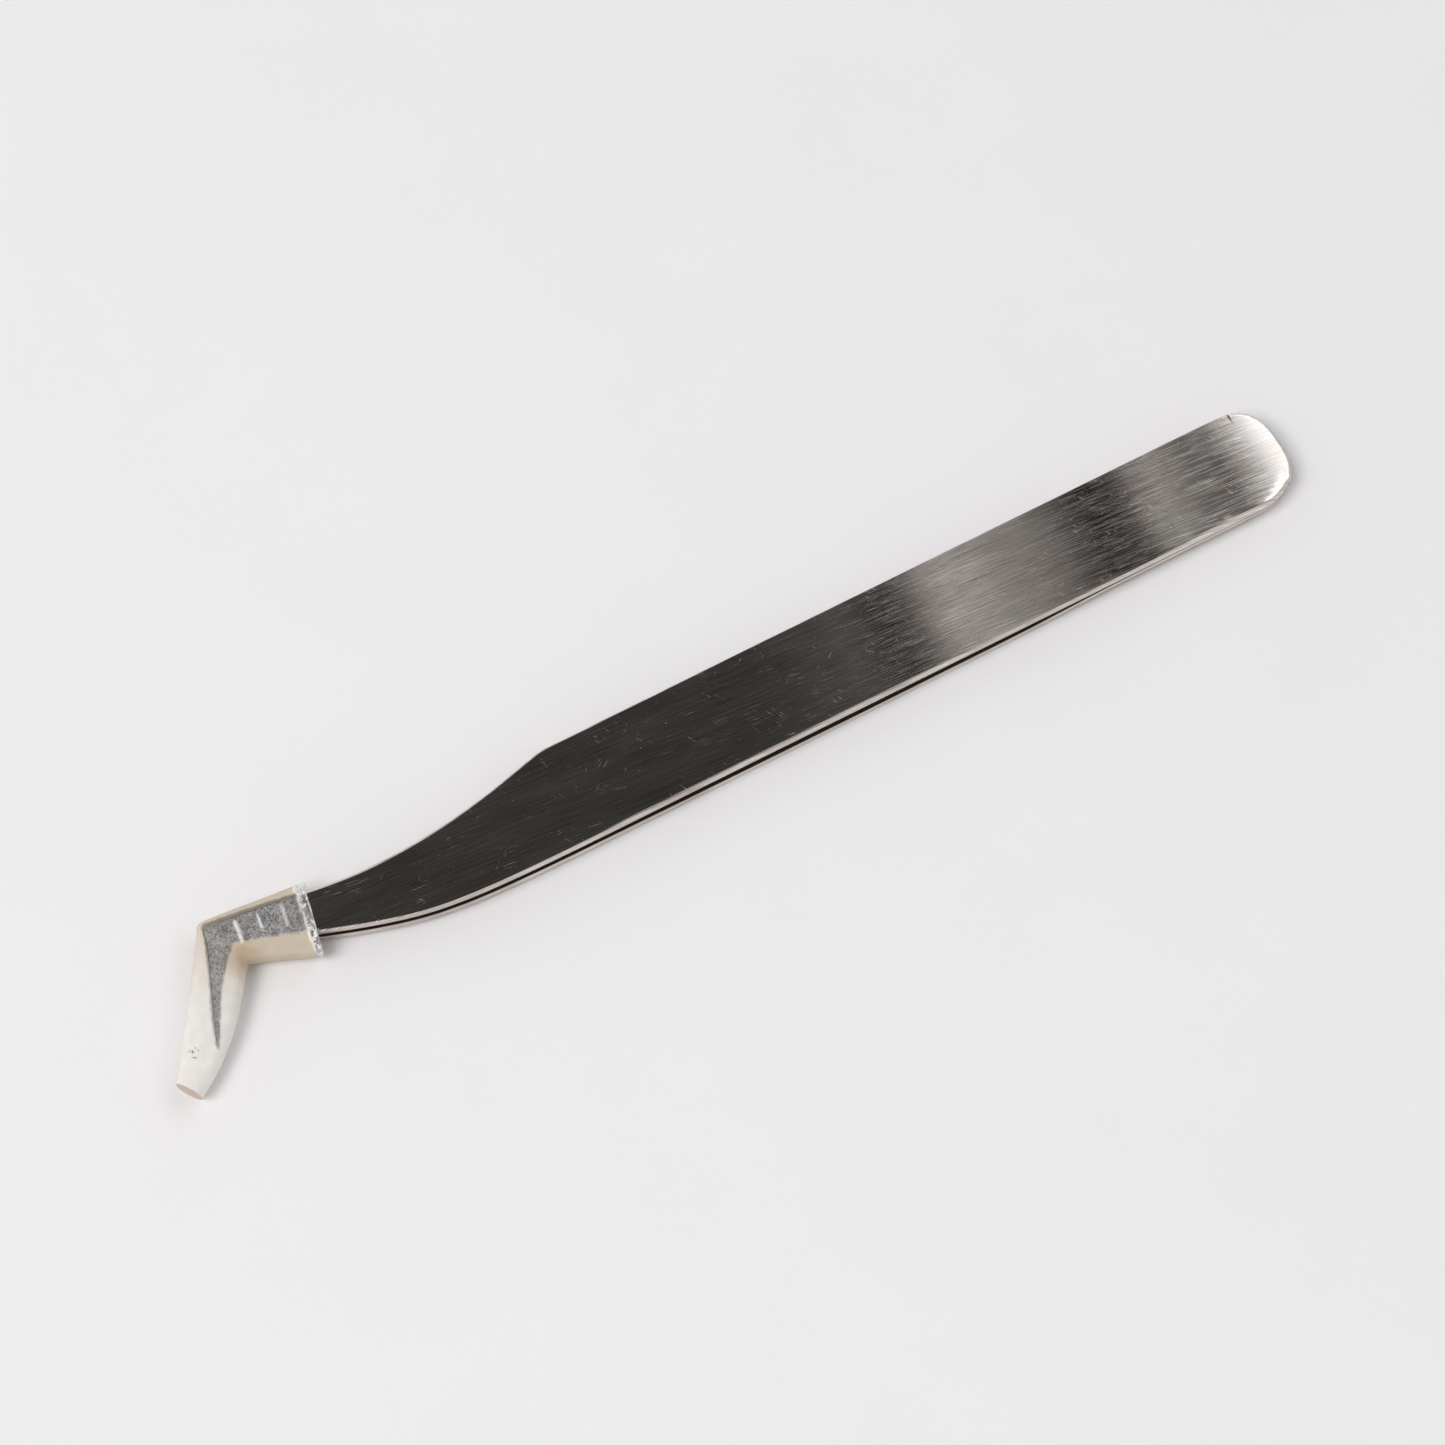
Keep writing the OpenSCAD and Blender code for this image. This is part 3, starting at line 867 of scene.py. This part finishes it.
def vinyl_material():
    """Thin soft cream vinyl: milky, but clear where it lies on the metal, glossy."""
    material, g = new_material("cap_vinyl")
    _, (along, _, _) = plan_coordinates(g)
    where = place_coordinates(g)
    cloud = g.noise(where, 0.9, 3.0, 0.55)
    speck = g.noise(where, 7.0, 2.0, 0.6)
    leg = g.fade(along, 7.5, 13.0)
    low = g.fade(along, 11.0, 17.0)
    lip = g.fade(along, 0.75, 0.55)
    # fold: painted highlight along the wrinkles and the fold behind the mouth; the lip gets it too
    fold = g.node("Attribute", attribute_name="fold").outputs["Fac"]
    off_metal = g.node("Attribute", attribute_name="off_metal").outputs["Fac"]
    end_face = g.node("Attribute", attribute_name="end_face").outputs["Fac"]
    slant = g.node("LayerWeight", {"Blend": 0.35}).outputs["Facing"]
    outline = g.fade(slant, 0.55, 0.95)

    def near(point, height, outer, inner):
        spot = tuple(c / MM for c in place(*point, height))
        gap = g.node("VectorMath", {0: where, 1: spot}, operation="DISTANCE").outputs["Value"]
        return g.fade(gap, outer, inner)

    flecks = g.times(near(BLEMISH, BLEMISH_HEIGHT, 0.8, 0.45),
                     g.fade(g.noise(where, 2.6, 2.0, 0.6), 0.54, 0.60))
    # Where the painted shadow round the crook's fold falls
    crook = near(CROOK_FOLD, CROOK_FOLD_HEIGHT, 2.8, 0.3)

    milky = g.fade(off_metal, -0.12, 0.22)
    body = g.times(milky, g.fade(leg, 0, 1, 0.90, 0.74))
    body = g.plus(body, g.fade(cloud, 0.3, 0.7, 0.03, 0.10))
    body = g.plus(body, g.fade(along, 4, 10, 0.0, 0.09))
    ragged = g.fade(g.noise(where, 2.2, 2.0, 0.6), 0.46, 0.60, 0.12, 0.85)
    body = g.mixed(lip, body, ragged)
    body = g.plus(body, g.times(fold, 0.75))
    body = g.math("ADD", body, g.times(flecks, 0.3), True)
    cream = g.mixed(leg, GRIP_CREAM, LEG_CREAM)
    for share, colour in (
        (low, END_CREAM),
        (g.times(outline, g.fade(leg, 0, 1, 0.5, 0.85)), OUTLINE_CREAM),
        # painted shadow in the crook
        (g.times(crook, 0.75), CROOK_SHADE_CREAM),
        # painted shade on the closed end's face
        (g.times(end_face, 0.85), END_SHADE_CREAM),
        # painted highlight on the wrinkles, the mouth's fold and the lip
        (g.math("MAXIMUM", fold, lip), FOLD_HIGHLIGHT),
        (flecks, FLECK_GREY),
    ):
        cream = g.mixed(share, cream, colour)
    bump = g.bump(g.plus(cloud, g.times(speck, 0.15)), 0.5, 0.0001)
    lit = g.node("BsdfPrincipled", {
        "Base Color": cream, "Roughness": 0.35, "Normal": bump,
        "Specular IOR Level": 0.0,
    }).outputs[0]
    glow = g.node("BsdfTranslucent", {"Color": cream, "Normal": bump}).outputs[0]
    milk = g.node("MixShader", {0: 0.2, 1: lit, 2: glow}).outputs[0]
    clear = g.node("BsdfTransparent", {"Color": CLEAR_VINYL}).outputs[0]
    wall = g.node("MixShader", {0: body, 1: clear, 2: milk}).outputs[0]
    gloss = g.node("BsdfGlossy", {"Color": GLOSS, "Roughness": 0.16, "Normal": bump}).outputs[0]
    share = g.times(g.node("Fresnel", {"IOR": 1.42, "Normal": bump}).outputs[0], 0.8)
    share = g.math("MINIMUM", share, MOST_GLOSS)
    shader = g.node("MixShader", {0: share, 1: wall, 2: gloss}).outputs[0]
    g.node("OutputMaterial", {0: shader})
    return material


def vinyl_inside_material():
    """The cap's inner wall, which adds little to what the outer wall shows."""
    material, g = new_material("cap_vinyl_inside")
    where = place_coordinates(g)
    cloud = g.noise(where, 1.5, 3.0, 0.6)
    milk = g.node("BsdfPrincipled", {"Base Color": (0.90, 0.83, 0.72, 1), "Roughness": 0.5})
    clear = g.node("BsdfTransparent", {"Color": (1, 1, 1, 1)})
    share = g.fade(cloud, 0.35, 0.7, 0.0, 0.015)
    shader = g.node("MixShader", {0: share, 1: clear.outputs[0], 2: milk.outputs[0]}).outputs[0]
    g.node("OutputMaterial", {0: shader})
    return material


PAPER_TONES = ((0.3, (0.828, 0.806, 0.804)), (0.7, (0.838, 0.816, 0.814)))


def paper_material():
    """The pale matt surface that the tweezers lie on."""
    material, g = new_material("pale_paper")
    where = g.node("TexCoord").outputs["Object"]
    fibres = g.noise(where, 700.0, 4.0, 0.6)
    bump = g.bump(fibres, 0.3, 0.0001)
    colour = g.colours(g.noise(where, 60.0, 3.0, 0.5), *PAPER_TONES)
    shader = g.node("BsdfPrincipled", {
        "Base Color": colour, "Roughness": 0.7, "Normal": bump, "Specular IOR Level": 0.3,
    })
    g.node("OutputMaterial", {0: shader.outputs[0]})
    return material


# ---------------------------------------------------------------- the studio
FLOOR_REACH = 3.0


def make_floor():
    corners = [(x * FLOOR_REACH, y * FLOOR_REACH, 0)
               for x, y in ((-1, -1), (1, -1), (1, 1), (-1, 1))]
    mesh = bpy.data.meshes.new("floor")
    mesh.from_pydata(corners, [], [(0, 1, 2, 3)])
    floor = bpy.data.objects.new("floor", mesh)
    bpy.context.scene.collection.objects.link(floor)
    mesh.materials.append(paper_material())


# Brightness overhead, from straight up towards the tail: the bands seen in the steel
CEILING = (
    (0.00, 0.055), (0.20, 0.052), (0.225, 0.060), (0.240, 0.130), (0.250, 0.01),
    (0.259, 0.00), (0.264, 0.50), (0.270, 0.64), (0.280, 0.37), (0.290, 0.31),
    (0.300, 0.23), (0.307, 0.12), (0.311, 0.00), (0.3282, 0.00), (0.3300, 1.35),
    (0.3335, 0.66), (0.3375, 0.19), (0.350, 0.12), (0.362, 0.24), (0.385, 0.42),
    (0.4125, 0.58),
)
PANEL = ((0.436, 0.86), (0.459, 1.30), (0.487, 1.65), (0.510, 1.80))
PANEL_TINT = (0.94, 0.985, 1.04)
WALL_TONES = ((0.0, (0.66, 0.66, 0.67)), (1.0, (0.80, 0.80, 0.81)))     # belly's side, spine's


def make_world():
    """A dark ceiling over bright walls, with a bright panel high on the tail's side."""
    world = bpy.data.worlds.new("studio")
    bpy.context.scene.world = world
    world.use_nodes = True
    g = Graph(world.node_tree)
    direction = g.node("TexCoord").outputs["Generated"]
    x, y, z = g.node("SeparateXYZ", {0: direction}).outputs
    stops = [(at, (level,) * 3) for at, level in CEILING]
    stops += [(at, tuple(level * part for part in PANEL_TINT)) for at, level in PANEL]
    ceiling = g.colours(g.math("MULTIPLY", x, 1.0, True), *stops)
    wall = g.colours(g.fade(y, -0.9, 0.9), *WALL_TONES)
    light = g.mixed(g.fade(z, 0.76, 0.45), ceiling, wall)
    background = g.node("Background", {"Color": light, "Strength": 1.0}).outputs[0]
    g.node("OutputWorld", {0: background})


def aim(thing, location, target):
    thing.location = location
    back = Vector(location) - Vector(target)
    thing.rotation_mode = "QUATERNION"
    thing.rotation_quaternion = back.to_track_quat("Z", "Y")


def make_light(name, azimuth, elevation, distance, size, power):
    """A soft square light; azimuth and elevation as for the camera."""
    data = bpy.data.lights.new(name, "AREA")
    data.shape = "SQUARE"
    data.size = size
    data.energy = power
    lamp = bpy.data.objects.new(name, data)
    bpy.context.scene.collection.objects.link(lamp)
    aim(lamp, seen_from(azimuth, elevation, distance), (0, 0, 0))


def seen_from(azimuth, elevation, distance, target=(0, 0, 0)):
    a, e = math.radians(azimuth), math.radians(elevation)
    back = Vector((math.sin(a) * math.cos(e), -math.cos(a) * math.cos(e), math.sin(e)))
    return Vector(target) + back * distance


CAMERA_AZIMUTH, CAMERA_ELEVATION, CAMERA_DISTANCE = -28.3, 66.5, 341.2 * MM
CAMERA_TARGET = (-0.465 * MM, AXIS_Y * MM + 0.6 * MM, 0)
LENS, SENSOR = 85, 36


def make_camera():
    data = bpy.data.cameras.new("camera")
    data.lens = LENS
    data.sensor_width = SENSOR
    data.clip_start, data.clip_end = 0.01, 10
    camera = bpy.data.objects.new("camera", data)
    bpy.context.scene.collection.objects.link(camera)
    bpy.context.scene.camera = camera
    spot = seen_from(CAMERA_AZIMUTH, CAMERA_ELEVATION, CAMERA_DISTANCE, CAMERA_TARGET)
    aim(camera, spot, CAMERA_TARGET)


scene = bpy.context.scene
scene.view_settings.view_transform = "Standard"
make_camera()
make_world()
make_light("key", azimuth=-84, elevation=57, distance=2.0, size=1.1, power=26.4)
make_floor()

steel = steel_material()
lower = make_leaf("lower_leaf_skin", -1, steel)
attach(lower, "lower_leaf")
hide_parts("lower_leaf")

upper = make_leaf("upper_leaf_skin", 1, steel)
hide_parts("upper_leaf", "upper_leaf_root")
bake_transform(upper)

cap = make_cap(vinyl_material(), vinyl_inside_material())
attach(cap, "tip_cap")
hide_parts("tip_cap")

weld = weld_material()
for name in ("rear_weld_nugget", "front_weld_nugget"):
    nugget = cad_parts[name]
    nugget.data.materials.clear()
    nugget.data.materials.append(weld)
